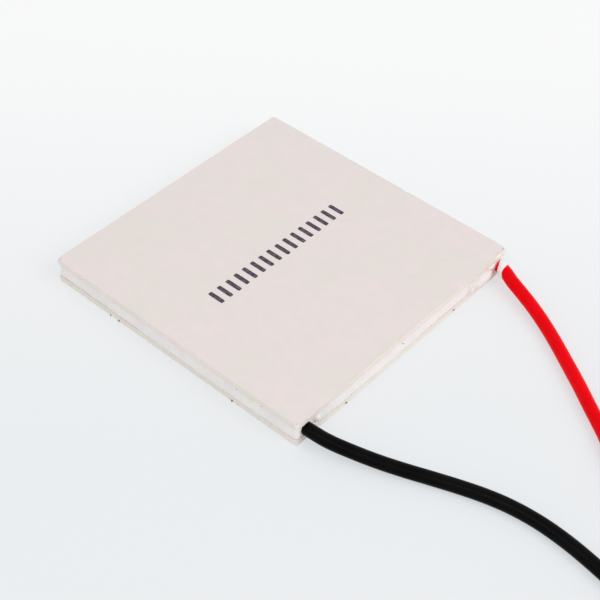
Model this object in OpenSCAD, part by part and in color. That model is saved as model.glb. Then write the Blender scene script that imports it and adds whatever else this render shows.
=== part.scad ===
// Thermoelectric cooling module: two ceramic plates with thermoelectric legs
// between them, joined in series by copper tabs, sealed round the edge with
// silicone and fed by two insulated leads.
//
// Millimetres. The origin is at the middle of the underside, +Z points to the
// cold plate and +X to the edge that the leads come out of.

/* [Plates] */
// Side of the two square ceramic plates
side = 40; // [37:0.5:44]
// Thickness of each ceramic plate
plate_t = 0.85; // [0.6:0.05:1.2]
// Radius of the plates' upright corners
corner_r = 0.25; // [0.1:0.05:0.6]

/* [Elements] */
// Leg positions along each side of the square grid
grid_n = 16; // [8:2:16]
// Side of each square leg
leg_side = 1.4; // [1.1:0.05:1.6]
// Height of each leg
leg_h = 1.1; // [1:0.05:1.6]
// Thickness of the copper tabs
tab_t = 0.3; // [0.2:0.05:0.4]
// How far a tab reaches past the legs that it joins
tab_over = 0.05; // [0.02:0.01:0.15]
// Thickness of the solder at each end of a leg
solder_t = 0.05; // [0.03:0.01:0.1]
// Bare ceramic between the outermost legs and the plate's edge
edge_margin = 1; // [0.9:0.05:1.4]

/* [Seal] */
// How far the seal's face lies in from the cold plate's edge
seal_recess = 0.4; // [0.3:0.05:0.5]
// How far its foot lies in from the hot plate's edge
seal_foot = 0.1; // [0.08:0.01:0.2]
// Height of the waves along the seal's face
seal_wave = 0.06; // [0.02:0.01:0.1]
// Clearance between the seal and the outermost tabs
seal_clear = 0.05; // [0.03:0.01:0.1]
// Radius of the dabs of sealant beside the leads
dab_r = 1.3; // [1:0.1:1.5]
// Thickness of the sealant smeared on the red lead
smear_t = 0.12; // [0.08:0.02:0.2]
// Width of that smear along the lead
smear_w = 0.8; // [0.5:0.1:0.9]

/* [Leads] */
// Clearance between a lead's insulation and each plate
lead_clear = 0.05; // [0.03:0.01:0.1]
// Diameter of the tinned strands inside a lead
core_d = 0.9; // [0.6:0.05:1]
// Length of each lead, its bare end included
lead_len = 300; // [200:10:350]
// Length of the stripped and tinned end
bare_len = 8; // [5:1:12]
// Middle diameter of a coil's turns, in lead diameters
coil_ratio = 11; // [10:0.5:12]
// Clearance between the turns of a coil
turn_clear = 0.1; // [0.05:0.05:0.2]

/* [Hidden] */
$fn = 48;

// Heights, from the underside up
hot_top = plate_t;
hot_tab_top = hot_top + tab_t;
leg_z = hot_tab_top + solder_t;
cold_tab_z = leg_z + leg_h + solder_t;
cold_z = cold_tab_z + tab_t;
mid_z = (hot_top + cold_z) / 2;

// The grid of legs
last = grid_n / 2;
field = side / 2 - edge_margin;
pitch = (2 * field - leg_side) / (grid_n - 1);
corner = field - leg_side / 2;
tab_w = leg_side + 2 * tab_over;

// The seal's walls
seal_in = field + tab_over + seal_clear;
seal_out = side / 2 - seal_foot;
seal_taper = (side / 2 - seal_recess) / seal_out;
wave_steps = 24;
cut = 0.01;

// The leads
lead_d = cold_z - hot_top - 2 * lead_clear;
lead_r = lead_d / 2;
tube_sides = 8;
core_in = corner - 0.6 * leg_side;
bead_w = 0.8 * leg_side;
coil_mid = coil_ratio * lead_r;
turn_pitch = lead_d + turn_clear;
end_gap = 0.15;
tail_angle = 60;

// Where each lead's straight run meets its coil: place, heading and turning
// side, 1 for anticlockwise and -1 for clockwise
black_entry = [69, -14];
black_heading = -10;
black_hand = -1;
red_entry = [51.5, -0.5];
red_heading = -37;
red_hand = 1;

// The leads' bends: x, y and the height above lying flat on the ground
black_bends = [
    [22.9, -18.05, 0.84], [25.9, -17.15, 0.56], [28.8, -16.1, 0.3], [31.6, -14.95, 0.12],
    [34.5, -13.7, 0], [37.4, -12.6, 0], [40.3, -11.65, 0], [43.2, -11, 0],
    [46.5, -10.68, 0], [50, -10.78, 0], [53.4, -11.2, 0], [56.8, -11.8, 0]
];
red_bends = [
    [21.5, 17.9, 0.88], [23, 17.2, 0.76], [25, 16.48, 0.56], [27, 15.72, 0.36],
    [29, 14.82, 0.18], [31, 13.76, 0.06], [33, 12.56, 0], [35, 11.25, 0],
    [37, 9.94, 0], [39, 8.6, 0], [41, 7.18, 0]
];

// The middle of grid position i, counted from 1
function at(i) = (i - (grid_n + 1) / 2) * pitch;

// The two corners at the leads' edge hold no leg
function has_leg(col, row) = col < grid_n || (row > 1 && row < grid_n);

function unit(v) = v / norm(v);
function heading(a) = [cos(a), sin(a)];
function flat(p, lift) = [p.x, p.y, lead_r + lift];
function total(v, i = 0) = i < len(v) ? v[i] + total(v, i + 1) : 0;
function run(p) = total([for (i = [1:len(p) - 1]) norm(p[i] - p[i - 1])]);

// A lead's own line, from the seal's inner wall to the mouth of its coil
function route(y, bends, entry, a, mouth) = concat(
    [[seal_in, y, mid_z], [side / 2 + 0.3, y, mid_z]],
    [for (b = bends) flat(b, b.z)],
    [flat(entry - (mouth + lead_d) * heading(a), 0)],
    [flat(entry - mouth * heading(a), 0)]
);

// A flat coil that holds a length: its turns, outer and inner radius, and the
// straight mouth that brings the lead clear of its outer turn
function turns(length) = length / (2 * PI * coil_mid);
function outer_r(length) = coil_mid + turns(length) * turn_pitch / 2;
function inner_r(length) = coil_mid - turns(length) * turn_pitch / 2;
function mouth(length) = turn_clear
    + sqrt((2 * outer_r(length) + turn_clear / 2) * (lead_d + turn_clear / 2));

// What is left for the coil once the lead has reached it. The mouth's own
// length hardly changes with the coil, so one step settles it.
function left_over(y, bends, entry, a, guess) =
    lead_len - bare_len - mouth(guess) - run(route(y, bends, entry, a, mouth(guess)));
function coil_len(y, bends, entry, a) =
    left_over(y, bends, entry, a, left_over(y, bends, entry, a, 0.8 * lead_len));

black_coil = coil_len(-corner, black_bends, black_entry, black_heading);
red_coil = coil_len(corner, red_bends, red_entry, red_heading);
black_route = route(-corner, black_bends, black_entry, black_heading, mouth(black_coil));
red_route = route(corner, red_bends, red_entry, red_heading, mouth(red_coil));

// Tube along a line of points
function tangent(p, i) = unit(p[min(i + 1, len(p) - 1)] - p[max(i - 1, 0)]);
function ring(p, i) = let (
    t = tangent(p, i),
    s = unit(cross([0, 0, 1], t)),
    u = cross(t, s)
) [for (k = [0:tube_sides - 1]) let (a = (k + 0.5) * 360 / tube_sides)
    p[i] + lead_r * (cos(a) * s + sin(a) * u)];

module tube(p) {
    n = tube_sides;
    polyhedron(
        points = [for (i = [0:len(p) - 1]) each ring(p, i)],
        faces = concat(
            [[for (k = [0:n - 1]) k]],
            [for (i = [1:len(p) - 1], k = [0:n - 1])
                [(i - 1) * n + k, i * n + (k + 1) % n, (i - 1) * n + (k + 1) % n]],
            [for (i = [1:len(p) - 1], k = [0:n - 1])
                [(i - 1) * n + k, i * n + k, i * n + (k + 1) % n]],
            [[for (k = [n - 1:-1:0]) (len(p) - 1) * n + k]]
        )
    );
}

// A square with rounded corners
module rounded(w, r) {
    square([w, w - 2 * r], center = true);
    square([w - 2 * r, w], center = true);
    for (x = [-1, 1], y = [-1, 1])
        translate([x, y] * (w / 2 - r)) circle(r);
}

module plate(z) {
    translate([0, 0, z]) linear_extrude(plate_t) rounded(side, corner_r);
}

module hot_plate() {
    color([0.93, 0.9, 0.88]) plate(0);
}

module cold_plate() {
    color([0.93, 0.9, 0.88]) plate(cold_z);
}

// A pad or leg on the middle of a grid position
module block(col, row, z, w, h) {
    translate([at(col) - w / 2, at(row) - w / 2, z]) cube([w, w, h]);
}

// A tab over two neighbouring positions, along the rows or across them
module tab(col, row, z, across = false) {
    l = pitch + tab_w;
    translate([at(col) - tab_w / 2, at(row) - tab_w / 2, z])
        cube(across ? [tab_w, l, tab_t] : [l, tab_w, tab_t]);
}

// On the hot side every pair along a row is joined, and the two end tabs
// carry the leads
module hot_tabs() {
    color([0.78, 0.48, 0.3])
        for (row = [1:grid_n], k = [1:last])
            if (k < last || (row > 1 && row < grid_n)) tab(2 * k - 1, row, hot_top);
}

module negative_end_tab() {
    color([0.78, 0.48, 0.3]) tab(grid_n - 1, 1, hot_top);
}

module positive_end_tab() {
    color([0.78, 0.48, 0.3]) tab(grid_n - 1, grid_n, hot_top);
}

// On the cold side the pairs are shifted by one position, and a tab across
// the rows carries the current round each row's end
module cold_tabs() {
    color([0.78, 0.48, 0.3]) {
        for (row = [1:grid_n], k = [1:last - 1]) tab(2 * k, row, cold_tab_z);
        for (row = [1:grid_n - 1])
            tab(row % 2 == 1 ? 1 : grid_n, row, cold_tab_z, across = true);
    }
}

module solder_pads(z) {
    for (row = [1:grid_n], col = [1:grid_n])
        if (has_leg(col, row)) block(col, row, z, leg_side, solder_t);
}

module hot_solder() {
    color([0.7, 0.71, 0.73]) solder_pads(hot_tab_top);
}

module cold_solder() {
    color([0.7, 0.71, 0.73]) solder_pads(leg_z + leg_h);
}

// Legs alternate like a chessboard, so that each tab joins one of each kind
module legs(odd) {
    for (row = [1:grid_n], col = [1:grid_n])
        if (has_leg(col, row) && (row + col) % 2 == odd)
            block(col, row, leg_z, leg_side, leg_h);
}

module p_legs() {
    color([0.32, 0.33, 0.36]) legs(0);
}

module n_legs() {
    color([0.4, 0.39, 0.42]) legs(1);
}

// The bare strands between a lead's insulation and its end tab
module core(y, grow = 0) {
    translate([core_in - grow, y, mid_z]) rotate([0, 90, 0])
        cylinder(d = core_d, h = seal_in - core_in + 2 * grow);
}

module black_lead_core() {
    color([0.75, 0.75, 0.76]) core(-corner);
}

module red_lead_core() {
    color([0.75, 0.75, 0.76]) core(corner);
}

// Solder bead that beds the strands on the end tab
module lead_solder(y) {
    top = mid_z + core_d / 4 - hot_tab_top;
    difference() {
        translate([corner - leg_side / 2, y, hot_tab_top]) rotate([90, 0, 90])
            linear_extrude(bead_w) polygon([
                [-leg_side / 2, 0], [leg_side / 2, 0],
                [core_d / 2 + solder_t, top], [-core_d / 2 - solder_t, top]
            ]);
        core(y, cut);
    }
}

module black_lead_solder() {
    color([0.7, 0.71, 0.73]) lead_solder(-corner);
}

module red_lead_solder() {
    color([0.7, 0.71, 0.73]) lead_solder(corner);
}

// The seal's face, waved as a bead laid by hand
function face(s, u) = seal_out + seal_wave * (sin(u * 23 + s * 77) + sin(u * 61 + s * 140)) / 2;

module seal_outline() {
    w = seal_out - edge_margin;
    polygon([for (s = [0:3], k = [0:wave_steps]) let (
        u = w * (2 * k / wave_steps - 1),
        x = face(s, u)
    ) [x * cos(90 * s) - u * sin(90 * s), x * sin(90 * s) + u * cos(90 * s)]]);
}

// A dab that bulges from the gap, centred this far in from the plates' edge
module dab(x_in, y, r) {
    translate([side / 2 - x_in, y, mid_z]) sphere(r);
}

module edge_seal() {
    color([0.95, 0.94, 0.93]) difference() {
        union() {
            difference() {
                translate([0, 0, hot_top])
                    linear_extrude(cold_z - hot_top, scale = seal_taper) seal_outline();
                translate([0, 0, mid_z]) cube([2 * seal_in, 2 * seal_in, side], center = true);
            }
            intersection() {
                translate([seal_in, -side, hot_top])
                    cube([side, 2 * side, cold_z - hot_top]);
                union() {
                    dab(seal_foot + 0.8, -corner + 1.9, dab_r);
                    dab(seal_foot + 0.8, corner - 2.3, dab_r);
                    dab(seal_foot + 0.9, corner - 4.4, dab_r);
                }
            }
        }
        for (y = [-corner, corner])
            translate([seal_in - cut, y, mid_z]) rotate([0, 90, 0])
                cylinder(d = lead_d, h = side / 4);
    }
}

// Sealant carried out on the red lead, over three quarters of the way round
module red_lead_smear() {
    a = red_route[1];
    b = red_route[2];
    d = b - a;
    color([0.95, 0.93, 0.94])
        translate((a + b) / 2)
        rotate([0, acos(d.z / norm(d)), atan2(d.y, d.x)])
        rotate(45) rotate_extrude(angle = 270)
        translate([lead_r, -smear_w / 2]) square([smear_t, smear_w]);
}

module black_lead() {
    color([0.06, 0.06, 0.07]) tube(black_route);
}

module red_lead() {
    color([0.85, 0.02, 0.05]) tube(red_route);
}

// Turns the drawing to a coil's entry, with its turning side to +Y
module at_entry(entry, a, hand) {
    translate([entry.x, entry.y, lead_r]) rotate(a) {
        if (hand > 0) children();
        if (hand < 0) mirror([0, 1, 0]) children();
    }
}

// One closed solid of the coil's outer shape, with the lead's straight mouth
// and the tail of its inmost turn
module coil(length) {
    r_out = outer_r(length);
    r_in = inner_r(length);
    inner = r_in + core_d / 2 + end_gap + lead_r;
    outer = r_out + turn_clear / 2;
    rotate([0, -90, 0]) rotate(180 / tube_sides)
        cylinder(r = lead_r, h = mouth(length), $fn = tube_sides);
    translate([0, r_out, 0]) {
        rotate_extrude() {
            translate([inner, -lead_r]) square([outer - inner, lead_d]);
            translate([inner, 0]) circle(lead_r);
            translate([outer, 0]) circle(lead_r);
        }
        rotate(360 * turns(length) - 90 - tail_angle)
            rotate_extrude(angle = tail_angle) translate([r_in, 0]) circle(lead_r);
    }
}

// The stripped end goes on round the coil's inner side
module bare_end(length) {
    r_in = inner_r(length);
    translate([0, outer_r(length), 0]) rotate(360 * turns(length) - 90)
        rotate_extrude(angle = bare_len / r_in * 180 / PI)
        translate([r_in, 0]) circle(d = core_d);
}

module black_lead_coil() {
    color([0.06, 0.06, 0.07])
        at_entry(black_entry, black_heading, black_hand) coil(black_coil);
}

module red_lead_coil() {
    color([0.85, 0.02, 0.05])
        at_entry(red_entry, red_heading, red_hand) coil(red_coil);
}

module black_lead_end() {
    color([0.75, 0.75, 0.76])
        at_entry(black_entry, black_heading, black_hand) bare_end(black_coil);
}

module red_lead_end() {
    color([0.75, 0.75, 0.76])
        at_entry(red_entry, red_heading, red_hand) bare_end(red_coil);
}

hot_plate();
cold_plate();
hot_tabs();
cold_tabs();
negative_end_tab();
positive_end_tab();
hot_solder();
cold_solder();
p_legs();
n_legs();
black_lead_solder();
red_lead_solder();
black_lead_core();
red_lead_core();
edge_seal();
red_lead_smear();
black_lead();
red_lead();
black_lead_coil();
red_lead_coil();
black_lead_end();
red_lead_end();
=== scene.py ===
# Thermoelectric cooling module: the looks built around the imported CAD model.
# Lengths in the mesh code are millimetres, and build() turns them into metres.
import math

import bmesh
import bpy
import numpy as np
from mathutils import Euler, Matrix, Vector


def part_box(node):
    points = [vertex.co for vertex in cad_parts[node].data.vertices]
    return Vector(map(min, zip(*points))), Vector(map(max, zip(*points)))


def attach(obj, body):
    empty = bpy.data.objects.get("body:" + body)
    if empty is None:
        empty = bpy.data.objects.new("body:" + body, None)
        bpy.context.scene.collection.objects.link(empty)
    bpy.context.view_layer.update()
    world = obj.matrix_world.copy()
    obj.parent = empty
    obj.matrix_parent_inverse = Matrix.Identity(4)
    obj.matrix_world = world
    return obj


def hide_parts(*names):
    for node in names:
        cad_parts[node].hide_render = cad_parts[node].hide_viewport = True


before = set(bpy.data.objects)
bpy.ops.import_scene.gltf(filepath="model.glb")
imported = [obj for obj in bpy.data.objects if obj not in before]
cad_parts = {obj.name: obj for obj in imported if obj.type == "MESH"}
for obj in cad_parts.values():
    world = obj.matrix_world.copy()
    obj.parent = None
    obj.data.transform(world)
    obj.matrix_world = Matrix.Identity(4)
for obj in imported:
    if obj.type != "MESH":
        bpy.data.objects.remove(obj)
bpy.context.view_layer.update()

MM = 0.001


def mm_box(node):
    lo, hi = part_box(node)
    return np.array(lo) / MM, np.array(hi) / MM


HOT_LO, HOT_HI = mm_box("hot_plate")
COLD_LO, COLD_HI = mm_box("cold_plate")
HALF = COLD_HI[0]
HOT_TOP, COLD_Z, TOP = HOT_HI[2], COLD_LO[2], COLD_HI[2]
MID_Z = (HOT_TOP + COLD_Z) / 2


# ---------------------------------------------------------------- materials
def srgb(r, g, b):
    """A colour given as 0-255 sRGB, as linear RGBA."""
    def linear(c):
        c /= 255
        return c / 12.92 if c <= 0.04045 else ((c + 0.055) / 1.055) ** 2.4
    return linear(r), linear(g), linear(b), 1.0


class Nodes:
    """Short calls for building a node tree."""

    def __init__(self, tree, keep=False):
        self.tree = tree
        if not keep:
            tree.nodes.clear()

    def add(self, kind, **settings):
        made = self.tree.nodes.new(kind)
        for key, value in settings.items():
            setattr(made, key, value)
        return made

    def link(self, value, socket):
        if isinstance(value, bpy.types.NodeSocket):
            self.tree.links.new(value, socket)
        elif value is not None:
            socket.default_value = value

    def math(self, operation, a, b):
        made = self.add("ShaderNodeMath", operation=operation)
        self.link(a, made.inputs[0])
        self.link(b, made.inputs[1])
        return made.outputs[0]

    def mix(self, factor, a, b):
        """Colour a where the factor is 0 and colour b where it is 1."""
        made = self.add("ShaderNodeMix", data_type="RGBA")
        for value, index in ((factor, 0), (a, 6), (b, 7)):
            self.link(value, made.inputs[index])
        return made.outputs[2]

    def span(self, value, lo, hi, to_lo=0.0, to_hi=1.0):
        """A smooth step from to_lo to to_hi, while value goes from lo to hi."""
        made = self.add("ShaderNodeMapRange", interpolation_type="SMOOTHSTEP")
        for v, index in ((value, 0), (lo, 1), (hi, 2), (to_lo, 3), (to_hi, 4)):
            self.link(v, made.inputs[index])
        return made.outputs[0]

    def position(self):
        """Place in the part's frame, in millimetres."""
        made = self.add("ShaderNodeVectorMath", operation="MULTIPLY")
        self.link(self.add("ShaderNodeTexCoord").outputs["Object"], made.inputs[0])
        made.inputs[1].default_value = [1 / MM] * 3
        return made.outputs[0]

    def noise(self, size, detail=2.0, rough=0.5):
        """Noise whose features are about size millimetres across."""
        made = self.add("ShaderNodeTexNoise")
        self.link(self.position(), made.inputs["Vector"])
        made.inputs["Scale"].default_value = 1 / size
        made.inputs["Detail"].default_value = detail
        made.inputs["Roughness"].default_value = rough
        return made.outputs[0]

    def attribute(self, name):
        return self.add("ShaderNodeAttribute", attribute_name=name).outputs["Fac"]

    def seen_rays(self):
        """1 for the camera's rays, mirrored and refracted ones, and 0 for light."""
        path = self.add("ShaderNodeLightPath").outputs
        rays = self.math("MAXIMUM", path["Is Camera Ray"], path["Is Glossy Ray"])
        return self.math("MAXIMUM", rays, path["Is Transmission Ray"])

    def bump(self, height, depth, strength=1.0, after=None):
        """Bump whose full height is depth millimetres."""
        made = self.add("ShaderNodeBump")
        made.inputs["Strength"].default_value = strength
        made.inputs["Distance"].default_value = depth * MM
        self.link(height, made.inputs["Height"])
        self.link(after, made.inputs["Normal"])
        return made.outputs[0]


def material(name, paint, uniform):
    """A node material: paint returns its linked colour, roughness and normal, and
    uniform gives the shader sockets that are the same all over."""
    made = bpy.data.materials.new(name)
    made.use_nodes = True
    n = Nodes(made.node_tree)
    shader = n.add("ShaderNodeBsdfPrincipled")
    for socket, value in uniform.items():
        shader.inputs[socket].default_value = value
    for socket, value in zip(("Base Color", "Roughness", "Normal"), paint(n)):
        n.link(value, shader.inputs[socket])
    n.link(shader.outputs[0], n.add("ShaderNodeOutputMaterial").inputs[0])
    return made


def alumina(n):
    """Pinkish and greenish ceramic. The attribute side marks the cut sides, which are
    yellower, and stain the brown along their edges."""
    patches = n.span(n.noise(5.5, detail=3, rough=0.6), 0.38, 0.62)
    face = n.mix(patches, srgb(229, 222, 218), srgb(233, 222, 221))
    cloud = n.span(n.noise(1.6, detail=2), 0.35, 0.7)
    face = n.mix(n.math("MULTIPLY", cloud, 0.35), face, srgb(224, 220, 214))
    grain = n.noise(0.12, detail=3, rough=0.7)
    face = n.mix(n.span(grain, 0.64, 0.78, 0, 0.25), face, srgb(205, 198, 190))
    cut = n.mix(patches, srgb(235, 231, 223), srgb(238, 232, 228))
    base = n.mix(n.attribute("side"), face, cut)
    hue = n.mix(n.span(n.noise(2.2), 0.4, 0.6), srgb(222, 208, 172), srgb(232, 202, 176))
    mottle = n.span(n.noise(0.35, detail=3), 0.3, 0.6, 0.35, 1.0)
    base = n.mix(n.math("MULTIPLY", n.attribute("stain"), mottle), base, hue)
    rough = n.span(n.noise(0.8, detail=3), 0.3, 0.7, 0.5, 0.66)
    pits = n.bump(grain, 0.012, 0.5)
    return base, rough, n.bump(n.noise(0.5, detail=4, rough=0.6), 0.012, 0.6, pits)


def silicone(n):
    cloud = n.noise(2.5, detail=3, rough=0.6)
    base = n.mix(n.span(cloud, 0.35, 0.65), srgb(238, 235, 235), srgb(243, 240, 238))
    dust = n.span(n.noise(0.16, detail=2), 0.68, 0.76, 0, 0.35)
    base = n.mix(dust, base, srgb(196, 186, 172))
    lumps = n.bump(n.noise(0.9, detail=2), 0.05, 0.5)
    rough = n.span(n.noise(0.6), 0.3, 0.7, 0.34, 0.5)
    return base, rough, n.bump(n.noise(0.14, detail=3), 0.008, 0.5, lumps)


def insulation(deep, light, dust):
    """A lead's smooth plastic, between a deep and a light colour, with specks of dust."""
    def paint(n):
        base = n.mix(n.span(n.noise(3.0, detail=3), 0.35, 0.65), deep, light)
        base = n.mix(n.span(n.noise(0.1, detail=1), 0.74, 0.8, 0, 0.5), base, dust)
        rough = n.span(n.noise(1.2, detail=4, rough=0.65), 0.3, 0.7, 0.24, 0.36)
        waves = n.bump(n.noise(1.8, detail=2), 0.04, 0.35)
        return base, rough, n.bump(n.noise(0.12, detail=3), 0.006, 0.45, waves)
    return paint


def metal(colour, worn, size, low, high):
    """Metal or crystal with worn patches of a size, its roughness from low to high."""
    def paint(n):
        base = n.mix(n.span(n.noise(size, detail=4, rough=0.65), 0.35, 0.7), colour, worn)
        rough = n.span(n.noise(size / 2, detail=3), 0.3, 0.7, low, high)
        return base, rough, n.bump(n.noise(size / 3, detail=3), 0.01, 0.5)
    return paint


def ink(n):
    worn = n.span(n.noise(0.5, detail=3), 0.4, 0.65)
    rough = n.span(n.noise(0.3), 0.3, 0.7, 0.5, 0.7)
    relief = n.bump(n.noise(0.15, detail=3), 0.006, 0.5)
    return n.mix(worn, srgb(72, 62, 76), srgb(98, 90, 100)), rough, relief


def residue(n):
    base = n.mix(n.span(n.noise(0.1, detail=2), 0.4, 0.6), srgb(96, 74, 50), srgb(140, 118, 84))
    return base, 0.6, n.bump(n.noise(0.06, detail=2), 0.01, 0.6)


def paper(n):
    fibres = n.span(n.noise(0.3, detail=3), 0.3, 0.7)
    base = n.mix(fibres, srgb(214, 214, 212), srgb(232, 232, 230))
    return base, 0.55, n.bump(n.noise(0.12, detail=2), 0.01, 0.5)


def floor_paint(n):
    return n.mix(n.noise(400), srgb(240, 242, 244), srgb(242, 243, 244)), 0.8, None


# What paints each material, and its sockets that are the same all over
LOOKS = {
    "alumina": (alumina, {
        "Subsurface Weight": 0.06, "Subsurface Scale": 0.4 * MM, "Specular IOR Level": 0.3}),
    "silicone": (silicone, {
        "Subsurface Weight": 0.25, "Subsurface Scale": 0.5 * MM, "Specular IOR Level": 0.35}),
    "black_insulation": (insulation(srgb(3, 2, 4), srgb(7, 7, 8), srgb(48, 48, 50)),
                         {"Specular IOR Level": 0.055}),
    "red_insulation": (insulation(srgb(235, 0, 12), srgb(240, 2, 18), srgb(244, 60, 70)),
                       {"Specular IOR Level": 0.05}),
    "copper": (metal(srgb(212, 140, 104), srgb(160, 92, 66), 0.7, 0.24, 0.42),
               {"Metallic": 1.0}),
    "solder": (metal(srgb(190, 192, 196), srgb(150, 152, 158), 0.4, 0.22, 0.45),
               {"Metallic": 1.0}),
    "p_crystal": (metal(srgb(112, 114, 122), srgb(84, 86, 94), 0.5, 0.3, 0.5),
                  {"Metallic": 0.9}),
    "n_crystal": (metal(srgb(126, 122, 124), srgb(96, 92, 96), 0.5, 0.34, 0.55),
                  {"Metallic": 0.9}),
    "tinned_copper": (metal(srgb(206, 206, 208), srgb(160, 158, 158), 0.3, 0.2, 0.4),
                      {"Metallic": 1.0}),
    "paper_tie": (paper, {"Specular IOR Level": 0.3}),
    "ink": (ink, {"Specular IOR Level": 0.2}),
    "residue": (residue, {"Specular IOR Level": 0.2}),
}
MATERIALS = {name: material(name, paint, uniform) for name, (paint, uniform) in LOOKS.items()}


# ---------------------------------------------------------------- meshes
def new_object(name, data):
    made = bpy.data.objects.new(name, data)
    bpy.context.scene.collection.objects.link(made)
    return made


def build(name, points, faces, paint, slot=None, smooth=35, **attributes):
    """A piece of the object from millimetre points, riding on the one body. Edges
    sharper than smooth degrees stay sharp. Attributes hold one value a point."""
    mesh = bpy.data.meshes.new(name)
    mesh.from_pydata((np.asarray(points, float) * MM).tolist(), [], faces)
    for key, values in attributes.items():
        layer = mesh.attributes.new(key, "FLOAT", "POINT")
        layer.data.foreach_set("value", np.asarray(values, "f"))
    mesh.polygons.foreach_set("use_smooth", [True] * len(mesh.polygons))
    mesh.set_sharp_from_angle(angle=math.radians(smooth))
    mesh.materials.append(MATERIALS[paint])
    mesh.validate()
    piece = new_object(name, mesh)
    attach(piece, "root")
    return piece


def strips(rings):
    """Points and quads of closed rings joined one after the other."""
    n = len(rings[0])
    faces = []
    for r in range(len(rings) - 1):
        for k in range(n):
            j = (k + 1) % n
            faces.append((r * n + k, r * n + j, (r + 1) * n + j, (r + 1) * n + k))
    return np.concatenate(rings), faces


def capped(rings):
    """Points and faces of joined rings, with a fan over each end."""
    points, faces = strips(rings)
    n, total = len(rings[0]), len(points)
    points = np.vstack([points, rings[0].mean(0), rings[-1].mean(0)])
    faces += [(total, (k + 1) % n, k) for k in range(n)]
    faces += [(total + 1, total - n + k, total - n + (k + 1) % n) for k in range(n)]
    return points, faces


def joined(parts):
    """Points and faces of several parts as those of one."""
    points, faces, base = [], [], 0
    for part_points, part_faces in parts:
        points.append(part_points)
        faces += [tuple(v + base for v in face) for face in part_faces]
        base += len(part_points)
    return np.concatenate(points), faces


def rounded_box(half_x, half_y, power, count):
    """A closed outline between an ellipse and a box. The lower the power, the boxier."""
    t = np.linspace(0, 2 * np.pi, count, endpoint=False)
    c, s = np.cos(t), np.sin(t)
    return np.c_[half_x * np.sign(c) * abs(c) ** power, half_y * np.sign(s) * abs(s) ** power]


def ellipsoid(centre, radii, tilt=(0, 0, 0)):
    """Points and faces of an ellipsoid, tilted by degrees about each axis."""
    made = bmesh.new()
    bmesh.ops.create_icosphere(made, subdivisions=4, radius=1)
    turn = Euler([math.radians(a) for a in tilt]).to_matrix()
    points = [np.array(turn @ Vector(np.array(v.co) * radii)) for v in made.verts]
    faces = [[v.index for v in f.verts] for f in made.faces]
    made.free()
    return np.array(centre) + np.array(points), faces


def value_noise(count, knots, seed):
    """Smooth random values from -1 to 1 round a closed line of count points, with a
    new random value at each of the knots."""
    values = np.random.default_rng(seed).uniform(-1, 1, knots)
    at = np.arange(count) * knots / count
    i = at.astype(int)
    f = at - i
    f = f * f * (3 - 2 * f)
    return values[i % knots] * (1 - f) + values[(i + 1) % knots] * f


# ---------------------------------------------------------------- camera
# Fitted to the plates' corners and edges: its place, its turns in degrees, its lens
EYE = (84.065, -95.929, 121.366)
YAW, PITCH, ROLL = 40.245, 44.645, 1.908
SENSOR, LENS = 36, 83.2


def add_camera():
    data = bpy.data.cameras.new("camera")
    data.sensor_width, data.lens = SENSOR, LENS
    data.clip_start, data.clip_end = 0.01, 20
    camera = new_object("camera", data)
    camera.matrix_world = (
        Matrix.Translation([c * MM for c in EYE])
        @ Matrix.Rotation(math.radians(YAW), 4, "Z")
        @ Matrix.Rotation(math.radians(90 - PITCH), 4, "X")
        @ Matrix.Rotation(math.radians(ROLL), 4, "Z")
    )
    bpy.context.scene.camera = camera


add_camera()

# ---------------------------------------------------------------- leads
# As in the CAD source: the seal's inner wall, the leads' distance from the middle, the
# radius of their insulation and the width of their strands, their length and how much
# of it is bare, and the space between a coil's turns and its middle radius
SEAL_IN = 19.1
CORNER = 18.3
LEAD_R, CORE_D = 0.85, 0.9
LEAD_LEN, BARE_LEN = 300, 8
TURN_CLEAR = 0.1
COIL_MID = 11 * LEAD_R
TURN_PITCH = 2 * LEAD_R + TURN_CLEAR

# Each lead as in the CAD source: its place at the gap, the entry and the heading of its
# coil, the side that the coil turns to, and the lead's bends as x, y and the height
# above lying flat
LEADS = {
    "black": (-CORNER, (69, -14), -10, -1, [
        (22.9, -18.05, 0.84), (25.9, -17.15, 0.56), (28.8, -16.1, 0.3), (31.6, -14.95, 0.12),
        (34.5, -13.7, 0), (37.4, -12.6, 0), (40.3, -11.65, 0), (43.2, -11, 0),
        (46.5, -10.68, 0), (50, -10.78, 0), (53.4, -11.2, 0), (56.8, -11.8, 0)]),
    "red": (CORNER, (51.5, -0.5), -37, 1, [
        (21.5, 17.9, 0.88), (23, 17.2, 0.76), (25, 16.48, 0.56), (27, 15.72, 0.36),
        (29, 14.82, 0.18), (31, 13.76, 0.06), (33, 12.56, 0), (35, 11.25, 0),
        (37, 9.94, 0), (39, 8.6, 0), (41, 7.18, 0)]),
}


def coil_radii(length):
    """The coil's outer and inner radius, to the middle of the lead."""
    spread = length / (2 * math.pi * COIL_MID) * TURN_PITCH / 2
    return COIL_MID + spread, COIL_MID - spread


def coil_centre(entry, heading, hand, length):
    a = math.radians(heading)
    way = hand * coil_radii(length)[0]
    return np.array(entry) + way * np.array([-math.sin(a), math.cos(a)])


def lead_route(y, entry, heading, bends, mouth):
    """Points from the gap over the bends, up to mouth before the coil's entry."""
    a = math.radians(heading)
    ahead = np.array([math.cos(a), math.sin(a), 0])
    gate = np.array([*entry, LEAD_R])
    points = [(SEAL_IN, y, MID_Z), (HALF + 0.3, y, MID_Z)]
    points += [(x, by, LEAD_R + lift) for x, by, lift in bends]
    return np.array([*points, gate - (mouth + 2 * LEAD_R) * ahead, gate - mouth * ahead])


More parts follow.
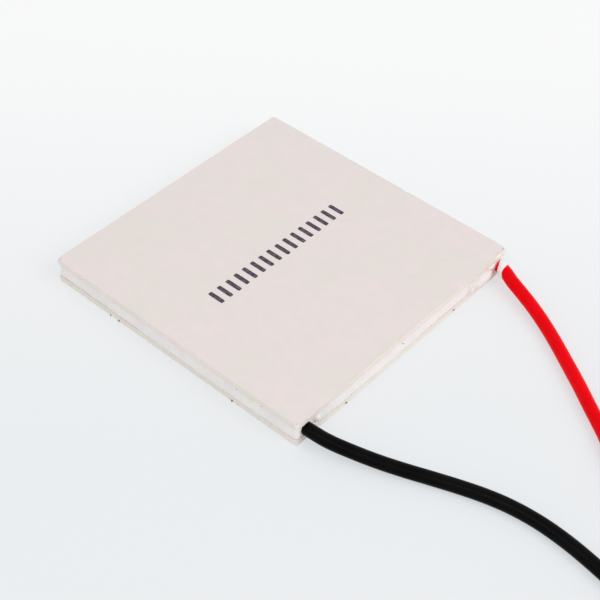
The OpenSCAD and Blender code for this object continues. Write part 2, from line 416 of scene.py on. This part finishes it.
def lead_coil(y, entry, heading, bends):
    """Length wound in the coil, and the route up to the coil's mouth."""
    # The mouth depends on the length and the length on the mouth, so a first guess
    # is put right twice
    length = 0.8 * LEAD_LEN
    for _ in range(2):
        mouth = TURN_CLEAR + math.sqrt(
            (2 * coil_radii(length)[0] + TURN_CLEAR / 2) * (2 * LEAD_R + TURN_CLEAR / 2))
        route = lead_route(y, entry, heading, bends, mouth)
        run = np.linalg.norm(np.diff(route, axis=0), axis=1).sum()
        length = LEAD_LEN - BARE_LEN - mouth - run
    return length, route


def smooth_line(points, step):
    """The points joined by one smooth curve, sampled about every step."""
    points = np.asarray(points, float)
    ends = np.vstack([2 * points[0] - points[1], points, 2 * points[-1] - points[-2]])
    line = []
    for i in range(1, len(ends) - 2):
        p0, p1, p2, p3 = ends[i - 1:i + 3]
        span = np.linalg.norm(p2 - p1)
        m1 = (p2 - p0) / (1 + np.linalg.norm(p1 - p0) / span)
        m2 = (p3 - p1) / (1 + np.linalg.norm(p3 - p2) / span)
        for t in np.arange(0, 1, 1 / max(1, round(span / step))):
            line.append((2 * t**3 - 3 * t**2 + 1) * p1 + (t**3 - 2 * t**2 + t) * m1
                        + (3 * t**2 - 2 * t**3) * p2 + (t**3 - t**2) * m2)
    return np.array([*line, points[-1]])


def coil_points(entry, heading, hand, length, start, end, step=6):
    """Points round the coil from the turning angle start to end, in degrees."""
    r_out, r_in = coil_radii(length)
    full = math.degrees(length / COIL_MID)
    a = math.radians(heading)
    x, y = coil_centre(entry, heading, hand, length)
    points = []
    for t in np.linspace(start, end, max(2, round((end - start) / step))):
        r = r_out + (r_in - r_out) * min(t, full) / full
        b = a + hand * math.radians(t - 90)
        points.append((x + r * math.cos(b), y + r * math.sin(b), LEAD_R))
    return np.array(points)


def carried_frames(line):
    """Two cross directions at each point of a line, without twist."""
    ahead = np.gradient(line, axis=0)
    ahead /= np.linalg.norm(ahead, axis=1)[:, None]
    across = np.cross([0, 0, 1.0], ahead)
    across /= np.linalg.norm(across, axis=1)[:, None]
    return across, np.cross(ahead, across)


def around(centre, across, up, radius, angles):
    """Points round a centre or along a line, at one radius or one for each angle."""
    way = np.cos(angles)[:, None] * across + np.sin(angles)[:, None] * up
    return centre + np.reshape(radius, (-1, 1)) * way


def tube(line, radius, sides=20):
    """Rings of a tube along a line. radius is a number or one for each point."""
    across, up = carried_frames(line)
    radius = np.broadcast_to(radius, len(line))
    angles = np.arange(sides) * 2 * np.pi / sides
    return [around(*spot, angles) for spot in zip(line, across, up, radius)]


# A lead's thickness wavers a little, with a random value every few points of its line
WOBBLE_SEEDS = {"black": 12, "red": 11}
WOBBLE_STEP = 9
STRANDS = 7


def add_lead(colour):
    """A lead from the gap to the end of its coil, with all that comes with it."""
    y, entry, heading, hand, bends = LEADS[colour]
    length, route = lead_coil(y, entry, heading, bends)
    full = math.degrees(length / COIL_MID)
    gate = np.array([*entry, LEAD_R])
    line = np.vstack([
        smooth_line(np.vstack([route, gate]), 0.45),
        coil_points(entry, heading, hand, length, 0, full)[1:],
    ])
    count = len(line)
    knots = np.arange(0, count + WOBBLE_STEP, WOBBLE_STEP)
    drawn = np.random.default_rng(WOBBLE_SEEDS[colour]).uniform(-1, 1, len(knots))
    wobble = np.interp(np.arange(count), knots, drawn)
    radius = LEAD_R * (1 + 0.006 * wobble) - 0.005
    radius[:3] *= 0.97
    radius[-1] *= 0.96
    lead = build(f"{colour}_lead_insulation", *capped(tube(line, radius)),
                 f"{colour}_insulation", f"{colour}_insulation")
    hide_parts(f"{colour}_lead", f"{colour}_lead_coil")

    # Tinned strands, six twisted round one, go on round the coil's inner side
    reach = math.degrees(BARE_LEN / coil_radii(length)[1])
    core = coil_points(entry, heading, hand, length, full - 4, full + reach, 1.5)
    across, up = carried_frames(core)
    strand_r = CORE_D / 6
    thick = np.full(len(core), strand_r)
    thick[-1] *= 0.6
    parts = []
    for strand in range(STRANDS):
        twist = np.linspace(0, 2.2 * np.pi, len(core)) + strand * np.pi / 3
        off = 0 if strand == STRANDS - 1 else 2 * strand_r * 0.97
        parts.append(capped(tube(around(core, across, up, off, twist), thick, 10)))
    strands = build(f"{colour}_lead_strands", *joined(parts), "tinned_copper", "tinned_copper")
    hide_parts(f"{colour}_lead_end")

    tie = add_tie(colour, entry, heading, hand, length)
    if colour == "red":
        add_smear(line)


# A tie's turning angle round the coil, half its width, the play inside it, its paper's
# thickness, and the radius of its ends and of their twist
TIE_AT = 250
TIE_HALF, TIE_PLAY, TIE_PAPER = 0.8, 0.06, 0.12
TIE_END_R, TIE_TWIST_R = 0.17, 0.2


def add_tie(colour, entry, heading, hand, length):
    """A flat paper tie round all the turns of a coil, its twisted ends lying on top."""
    r_out, r_in = coil_radii(length)
    a = math.radians(heading) + hand * math.radians(TIE_AT - 90)
    centre = coil_centre(entry, heading, hand, length)
    away, along = np.array([math.cos(a), math.sin(a)]), np.array([-math.sin(a), math.cos(a)])
    # Section of the loop: a flat ring from the inmost turn to the outmost
    near, far, high = r_in - LEAD_R - TURN_PITCH * 0.5, r_out + LEAD_R, 2 * LEAD_R
    half, middle = (far - near) / 2, np.array([(far + near) / 2, LEAD_R])
    loop = middle + rounded_box(half + TIE_PLAY, LEAD_R + TIE_PLAY, 0.35, 40)
    loop[:, 1] = np.clip(loop[:, 1], 0.03, high + TIE_PLAY)
    grown = (loop - middle) * [1 + TIE_PAPER / half, 1 + TIE_PAPER / LEAD_R] + middle
    grown[:, 1] = np.clip(grown[:, 1], 0.0, high + 0.2)

    def place(section, shift):
        flat = centre + section[:, :1] * away + shift * along
        return np.c_[flat, section[:, 1]]

    loop_part = strips([
        place(loop, -TIE_HALF),
        *(place(grown, shift) for shift in (-TIE_HALF, -0.27, 0.27, TIE_HALF)),
        place(loop, TIE_HALF), place(loop, -TIE_HALF)])
    # The two ends, twisted round each other and laid down along the outer turn
    start = np.array([*(centre + (middle[0] + 0.4 * half) * away), high + 0.35])
    line = []
    for s in np.linspace(-0.4, 5.0, 40):
        flat = along * s + away * 0.12 * math.sin(s)
        line.append(start + np.array([*flat, 0.1 * math.sin(1.3 * s)]))
    line = np.array(line)
    across, up = carried_frames(line)
    parts = [loop_part]
    for turn in (0, np.pi):
        twist = np.linspace(0, 5 * np.pi, len(line)) + turn
        end = around(line, across, up, TIE_TWIST_R, twist)
        parts.append(capped(tube(end, TIE_END_R, 10)))
    return build(f"{colour}_coil_tie", *joined(parts), "paper_tie")


# The smear: how far it goes beyond its solid's two ends, points across it, how far it
# slants and how long it is, both as shares of half its span, its thickness, and how far
# its rim sinks into the lead
SMEAR_BACK, SMEAR_ON = 1.3, 0.75
SMEAR_SIDES = 44
SMEAR_SLANT, SMEAR_LONG = 0.62, 0.42
SMEAR_THICK, SMEAR_SINK = 0.17, 0.03


def add_smear(line):
    """Sealant drawn out over the red lead, thin and ragged towards its edges."""
    lo, hi = mm_box("red_lead_smear")
    inside = [i for i, p in enumerate(line[:40]) if lo[0] - SMEAR_BACK < p[0] < hi[0] + SMEAR_ON]
    core = smooth_line(line[inside[0]:inside[-1] + 1:2], 0.08)
    across, up = carried_frames(core)
    angles = np.linspace(math.radians(-60), math.radians(235), SMEAR_SIDES)
    ragged = np.interp(np.arange(SMEAR_SIDES), np.arange(0, SMEAR_SIDES + 4, 4),
                       np.random.default_rng(5).uniform(0.72, 1.0, 12))
    # It slants: on the lead's left side it lies nearer to the plate than on its right
    lean = np.linspace(-SMEAR_SLANT, SMEAR_SLANT, SMEAR_SIDES)
    thin = np.clip(np.sin(np.linspace(0, np.pi, SMEAR_SIDES)) * 2.5, 0, 1)
    rings = []
    for s, *spot in zip(np.linspace(-1, 1, len(core)), core, across, up):
        shape = np.clip(1 - ((s - lean) / (SMEAR_LONG * ragged)) ** 2, 0, 1) ** 0.5
        outer = around(*spot, LEAD_R - SMEAR_SINK + SMEAR_THICK * shape * thin, angles)
        inner = around(*spot, LEAD_R - 0.1, angles)
        rings.append(np.vstack([outer, inner[::-1]]))
    smear = build("red_lead_sealant", *capped(rings), "silicone", "silicone")
    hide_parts("red_lead_smear")
    return smear


for colour in LEADS:
    add_lead(colour)


# ---------------------------------------------------------------- plates
# Points on a quarter of the rim, how many of them round its corner, and on all of it
QUARTER, ARC = 320, 8
RIM = 4 * QUARTER
# How far in the flat rings of a face lie. Then its coarser rings, each with a quarter
# of the points of the ring before: how far in each lies, and its step along the rim
FACE_INSETS = (0.16, 0.45, 1.1)
COARSE_RINGS = ((2.2, 4), (4.5, 16))
# Levels of a plate's side, from the inner face to the outer: share of the height,
# inset, raggedness, teeth, stain, and the share of the chips' drop
LEVELS = (
    (0.00, 0.050, 0.030, 0.000, 0.60, 0.90), (0.05, 0.012, 0.035, 0.000, 0.90, 0.25),
    (0.18, 0.000, 0.035, 0.006, 0.30, 0), (0.36, 0.000, 0.030, 0.012, 0.10, 0),
    (0.52, 0.004, 0.022, 0.018, 0.05, 0), (0.68, 0.004, 0.015, 0.026, 0.05, 0),
    (0.84, 0.002, 0.012, 0.026, 0.12, 0), (0.95, 0.010, 0.016, 0.014, 0.45, 0.25),
    (1.00, 0.045, 0.024, 0.004, 0.34, 0.90),
)


def rim(inset, radius=0.25):
    """A square outline lying in from the plate's edge, and its outward normals."""
    half, r = HALF - inset, max(radius - inset, 0.02)
    points, normals = [], []
    for k in range(4):
        turn = np.linalg.matrix_power(np.array([[0, -1], [1, 0]]), k)
        for i in range(QUARTER - ARC):
            points.append(turn @ (half, (half - r) * (2 * i / (QUARTER - ARC) - 1)))
            normals.append(turn @ (1, 0))
        for i in range(ARC):
            a = math.pi / 2 * i / ARC
            points.append(turn @ (half - r + r * math.cos(a), half - r + r * math.sin(a)))
            normals.append(turn @ (math.cos(a), math.sin(a)))
    return np.array(points), np.array(normals)


def edge_place(rng):
    """A random place on one of the plates' four sides, away from the corners."""
    u, side = rng.uniform(-19, 19), rng.integers(4)
    return ((HALF, u), (-HALF, u), (u, HALF), (u, -HALF))[side]


def chip_field(chips):
    """How deep the chips go at each rim point, into the side and into the face. A chip
    is its x, y, width, depth into the side, depth into the face and seed."""
    points, _ = rim(0)
    inset, drop = np.zeros(RIM), np.zeros(RIM)
    for x, y, width, deep, low, seed in chips:
        far = np.linalg.norm(points - (x, y), axis=1) / (width / 2)
        shape = np.clip(1 - far**2, 0, 1) ** 0.6
        rough = 1 + 0.35 * value_noise(RIM, 700, seed)
        inset = np.maximum(inset, deep * shape * rough)
        drop = np.maximum(drop, low * shape * rough)
    return inset, drop


def fill_face(points, faces, first, z, flip):
    """Fill the flat ring whose first point is given with coarser rings and a middle
    point. The triangles go into faces, and all the points are returned."""
    ids, tris = list(range(first, first + RIM)), []
    for inset, keep in COARSE_RINGS:
        ring = rim(inset)[0][::keep]
        new = list(range(len(points), len(points) + len(ring)))
        points = np.vstack([points, np.c_[ring, np.full(len(ring), z)]])
        for j, v in enumerate(new):
            w = new[(j + 1) % len(new)]
            a, b, c, d, e = (ids[(4 * j + k) % len(ids)] for k in range(5))
            tris += [(a, b, v), (b, c, v), (v, c, w), (c, d, w), (d, e, w)]
        ids = new
    middle = len(points)
    tris += [(a, b, middle) for a, b in zip(ids, ids[1:] + ids[:1])]
    faces += [t[::-1] if flip else t for t in tris]
    return np.vstack([points, (0, 0, z)])


def add_plate(name, node, z_in, z_out, chips_out, chips_in, seed):
    """A ceramic plate. z_out is its outer face and z_in the face on the tabs."""
    thick = z_out - z_in
    up = 1 if thick > 0 else -1
    ragged = (abs(value_noise(RIM, 620, seed)) + abs(value_noise(RIM, 150, seed + 1))) / 2
    teeth = abs(np.random.default_rng(seed + 2).uniform(-1, 1, RIM))
    out_in, out_drop = chip_field(chips_out)
    in_in, in_drop = chip_field(chips_in)
    patchy = 0.5 + 0.5 * value_noise(RIM, 90, seed + 3)
    fine = 0.5 + 0.5 * value_noise(RIM, 420, seed + 4)
    edge, normals = rim(0)
    rings, stain, side = [], [], []

    def add_ring(points, z, spots, on_side):
        rings.append(np.c_[points, np.broadcast_to(z, RIM)])
        stain.append(spots)
        side.append(np.full(RIM, float(on_side)))

    def flat_ring(inset, z, chips, spots):
        # Only the ring next to the edge follows its chips and is stained
        near = inset == FACE_INSETS[0]
        points = rim(inset)[0] - normals * (0.8 * near * chips)[:, None]
        add_ring(points, z, near * spots * patchy, False)

    for inset in reversed(FACE_INSETS):
        flat_ring(inset, z_in, in_in, 0.15)
    for share, inset, rag, tooth, spot, drop in LEVELS:
        near_out, near_in = max(0, 2 * share - 1), max(0, 1 - 2 * share)
        off = inset + rag * ragged + tooth * teeth + out_in * near_out**1.5 + in_in * near_in**1.5
        z = z_in + thick * share + up * drop * (in_drop if share < 0.5 else -out_drop)
        spots = np.clip(spot * (0.25 + 0.9 * patchy * fine + 0.25 * fine), 0, 1)
        add_ring(edge - normals * off[:, None], z,
                 spots * (0.4 + 0.6 * max(near_out, near_in)), share not in (0, 1))
    for inset in FACE_INSETS:
        flat_ring(inset, z_out, out_in, 0.10)
    points, faces = strips(rings)
    outer = len(points) - RIM
    points = fill_face(points, faces, 0, z_in, True)
    points = fill_face(points, faces, outer, z_out, False)
    plain = np.zeros(len(points) - len(rings) * RIM)
    piece = build(name, points, faces, "alumina", "alumina", smooth=28,
                  stain=np.concatenate([*stain, plain]), side=np.concatenate([*side, plain]))
    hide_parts(node)


def small_chips(count, seed):
    """Small random chips along all four sides."""
    rng = np.random.default_rng(seed)
    made = []
    for k in range(count):
        x, y = edge_place(rng)
        width = rng.uniform(0.25, 0.9)
        deep, low = width * rng.uniform(0.06, 0.14), width * rng.uniform(0.05, 0.12)
        made.append((x, y, width, deep, low, seed + k))
    return made


add_plate("cold_plate_ceramic", "cold_plate", COLD_Z, TOP,
          [(20, 20, 1.5, 0.36, 0.17, 1), (20, 18.2, 1.5, 0.28, 0.16, 2),
           (-20, -20, 1.3, 0.26, 0.15, 3), (20, -20, 0.9, 0.2, 0.14, 4),
           (-20, 20, 0.7, 0.16, 0.12, 5), *small_chips(22, 100)],
          [(-20, -20, 1.0, 0.2, 0.15, 6), (20, 20, 1.0, 0.2, 0.2, 7),
           *small_chips(30, 200)], 31)
add_plate("hot_plate_ceramic", "hot_plate", HOT_TOP, HOT_LO[2],
          [(-20, -20, 0.9, 0.2, 0.15, 8), *small_chips(24, 300)],
          [(-20, -20, 1.1, 0.25, 0.2, 9), *small_chips(26, 400)], 61)


# ---------------------------------------------------------------- seal
# How far the seal goes over the plates' inner faces, and its three waves as depth,
# number of knots and seed
SEAL_LAP = 0.05
SEAL_WAVES = ((0.035, 26, 71), (0.025, 90, 72), (0.012, 300, 73))
# Where the silicone is laid on thicker: centre, radii and tilt in degrees
LUMPS = (
    ((19.60, -16.40, 1.90), (0.75, 0.62, 0.52), (10, 0, 0)),
    ((19.55, 15.45, 1.30), (0.95, 1.95, 0.80), (6, 0, 0)),
    ((19.55, 12.55, 1.55), (0.85, 0.26, 1.00), (14, 0, 0)),
    ((19.55, 14.10, 1.25), (0.80, 0.50, 0.70), (-10, 0, 0)),
    ((19.70, 16.95, 2.35), (0.48, 0.95, 0.36), (0, 0, 0)),
)


def one_skin(points, faces, voxel, relaxing):
    """Closed parts that overlap made into one mesh, and relaxed a number of times."""
    raw = bpy.data.meshes.new("raw")
    raw.from_pydata(points.tolist(), [], faces)
    holder = new_object("raw", raw)
    remesh = holder.modifiers.new("remesh", "REMESH")
    remesh.mode, remesh.voxel_size = "VOXEL", voxel
    relax = holder.modifiers.new("relax", "SMOOTH")
    relax.factor, relax.iterations = 0.5, relaxing
    shown = holder.evaluated_get(bpy.context.evaluated_depsgraph_get())
    done = bpy.data.meshes.new_from_object(shown)
    skin = (np.array([v.co for v in done.vertices]),
            [tuple(face.vertices) for face in done.polygons])
    bpy.data.objects.remove(holder)
    bpy.data.meshes.remove(raw)
    bpy.data.meshes.remove(done)
    return skin


def add_seal():
    """A bead of silicone laid by hand round the gap, with the lumps at the leads."""
    outline, normals = rim(0.03, 0.5)
    outline, normals = outline[::2], normals[::2]
    n = len(outline)
    low, high = HOT_TOP - SEAL_LAP, COLD_Z + SEAL_LAP
    waves = sum(depth * value_noise(n, knots, seed) for depth, knots, seed in SEAL_WAVES)
    tilt = 0.05 * value_noise(n, 17, 74)
    rings = []
    for z in np.linspace(low, high, 15):
        # v goes from -1 at the hot plate to 1 at the cold one, where the face lies in
        v = 2 * (z - MID_Z) / (high - low)
        bead = 0.07 * (1 - v * v) - 0.15 * (1 + v) - 0.02
        fine = 0.02 * value_noise(n, 140, 80 + round(4 * v))
        off = bead + waves * (0.75 + 0.25 * v) + tilt * v + fine
        rings.append(np.c_[outline + normals * off[:, None], np.full(n, z)])
    wall = rim(HALF - SEAL_IN, 0.9)[0][::2]
    rings = [np.c_[wall, np.full(n, low)], *rings, np.c_[wall, np.full(n, high)]]
    points, faces = strips(rings)
    top = (len(rings) - 1) * n
    faces += [(k, top + k, top + (k + 1) % n, (k + 1) % n) for k in range(n)]
    parts = [(points, faces), *(ellipsoid(*lump) for lump in LUMPS)]
    seal = build("edge_seal_bead", *one_skin(*joined(parts), 0.12, 4),
                 "silicone", "silicone", smooth=80)
    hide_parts("edge_seal")


add_seal()


# ---------------------------------------------------------------- marks
# The bars: how many, the first's and the last's y, their x, their length and width,
# and the points round each
BARS, BAR_FIRST, BAR_LAST, BAR_X = 16, -11.4, 10.8, -0.7
BAR_LONG, BAR_WIDE, BAR_SIDES = 2.35, 0.62, 44


def add_strokes():
    """A row of plain stamped bars across the middle of the cold plate."""
    rng = np.random.default_rng(8)
    parts = []
    for k in range(BARS):
        outline = rounded_box(BAR_LONG / 2, BAR_WIDE / 2, 0.28, BAR_SIDES)
        outline = outline * (1 + rng.uniform(-0.015, 0.015, (BAR_SIDES, 1)))
        y = BAR_FIRST + (BAR_LAST - BAR_FIRST) * k / (BARS - 1)
        outline += (BAR_X + rng.uniform(-0.04, 0.04), y)
        points, faces = strips([
            np.c_[outline, np.full(BAR_SIDES, z)] for z in (TOP - 0.01, TOP + 0.012)])
        faces += [tuple(range(BAR_SIDES, 2 * BAR_SIDES)), tuple(reversed(range(BAR_SIDES)))]
        parts.append((points, faces))
    build("stamped_bars", *joined(parts), "ink", smooth=20)


# The larger grains as x, y, height and size, how many small ones there are, and how far
# out the grains' middles lie at most, just inside the plates' sides
GRAINS = (
    (-10.5, -20, 0.12, 0.2), (-9.0, -20, 0.1, 0.24), (10.0, -20, 0.15, 0.22),
    (20, 9.2, 0.4, 0.22), (20, -1.0, 2.2, 0.14), (20, -11.4, 0.35, 0.24),
)
SMALL_GRAINS = 16
GRAIN_OUT = 19.98


def add_residue():
    """Brown grains of flux and dust left along the edges."""
    rng = np.random.default_rng(9)
    spots = list(GRAINS)
    for _ in range(SMALL_GRAINS):
        x, y = edge_place(rng)
        spots.append((x, y, rng.choice([0.1, HOT_TOP, COLD_Z]), rng.uniform(0.05, 0.11)))
    parts = []
    for x, y, z, size in spots:
        points, faces = ellipsoid((0, 0, 0), (size / 2, size / 2, size / 2))
        points = points * (1 + 0.3 * np.sin(points @ rng.uniform(-30, 30, 3)))[:, None]
        x, y = np.clip((x, y), -GRAIN_OUT, GRAIN_OUT)
        parts.append((points + (x, y, max(z, size / 2)), faces))
    build("edge_residue", *joined(parts), "residue")


add_strokes()
add_residue()

# ---------------------------------------------------------------- CAD nodes
# The solids that are seen as they are, by material
INNER = {
    "copper": ("hot_tabs", "cold_tabs", "negative_end_tab", "positive_end_tab"),
    "solder": ("hot_solder", "cold_solder", "black_lead_solder", "red_lead_solder"),
    "p_crystal": ("p_legs",),
    "n_crystal": ("n_legs",),
    "tinned_copper": ("black_lead_core", "red_lead_core"),
}
for paint, names in INNER.items():
    for name in names:
        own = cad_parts[name].data.materials
        own.clear()
        own.append(MATERIALS[paint])


# ---------------------------------------------------------------- studio
# Half the floor's side in metres, how much of what is seen of it is its own light, the
# way from the back of the view to the front, and where along it, in millimetres, that
# light begins and ends to fall off
FLOOR_HALF = 3.0
FLOOR_GLOW = 0.62
TO_FRONT = (0.66, -0.75, 0)
FALL_FROM, FALL_TO = -60, 34
WARM_WHITE = (1.0, 0.995, 0.99)


def add_floor():
    """A plain pale floor. What the camera and reflections see of it is part light of
    its own, which falls off softly from the back to the front."""
    w = FLOOR_HALF
    mesh = bpy.data.meshes.new("floor")
    mesh.from_pydata([(-w, -w, 0), (w, -w, 0), (w, w, 0), (-w, w, 0)], [], [(0, 1, 2, 3)])
    floor = new_object("floor", mesh)
    paint = material("floor", floor_paint, {"Specular IOR Level": 0.1})
    n = Nodes(paint.node_tree, keep=True)
    depth = n.add("ShaderNodeVectorMath", operation="DOT_PRODUCT")
    n.link(n.position(), depth.inputs[0])
    depth.inputs[1].default_value = TO_FRONT
    falloff = n.span(depth.outputs["Value"], FALL_FROM, FALL_TO)
    glow = n.add("ShaderNodeEmission")
    n.link(n.mix(falloff, srgb(255, 255, 255), srgb(232, 236, 239)), glow.inputs[0])
    end = n.tree.nodes["Material Output"].inputs[0]
    mixed = n.add("ShaderNodeMixShader")
    n.link(n.math("MULTIPLY", n.seen_rays(), FLOOR_GLOW), mixed.inputs[0])
    n.link(end.links[0].from_socket, mixed.inputs[1])
    n.link(glow.outputs[0], mixed.inputs[2])
    n.link(mixed.outputs[0], end)
    mesh.materials.append(paint)


def add_lamp(name, where, aim, size, power, colour):
    """A rectangular lamp. Its place, aim and two sides are metres, its power watts."""
    data = bpy.data.lights.new(name, "AREA")
    data.shape, data.size, data.size_y = "RECTANGLE", size[0], size[1]
    data.energy, data.color = power, colour
    lamp = new_object(name, data)
    lamp.location = where
    lamp.rotation_euler = (Vector(aim) - Vector(where)).to_track_quat("-Z", "Y").to_euler()


def add_world(level, shown):
    """Even light of a level from all round. The camera sees a plain colour instead."""
    world = bpy.data.worlds.new("studio")
    world.use_nodes = True
    bpy.context.scene.world = world
    n = Nodes(world.node_tree)
    mix = n.add("ShaderNodeMixShader")
    n.link(n.seen_rays(), mix.inputs[0])
    for k, colour, strength in ((1, (*WARM_WHITE, 1), level), (2, shown, 1.0)):
        back = n.add("ShaderNodeBackground")
        back.inputs[0].default_value, back.inputs[1].default_value = colour, strength
        n.link(back.outputs[0], mix.inputs[k])
    n.link(mix.outputs[0], n.add("ShaderNodeOutputWorld").inputs[0])


add_floor()
add_lamp("key", (0.58, 0.10, 0.50), (0.01, 0, 0), (0.46, 0.46), 1.8, (1.0, 0.99, 0.98))
add_lamp("fill", (-0.03, -0.42, 0.60), (0.03, -0.01, 0), (0.34, 0.03), 0.5, WARM_WHITE)
add_world(0.74, srgb(248, 249, 250))

bpy.context.scene.view_settings.view_transform = "Standard"
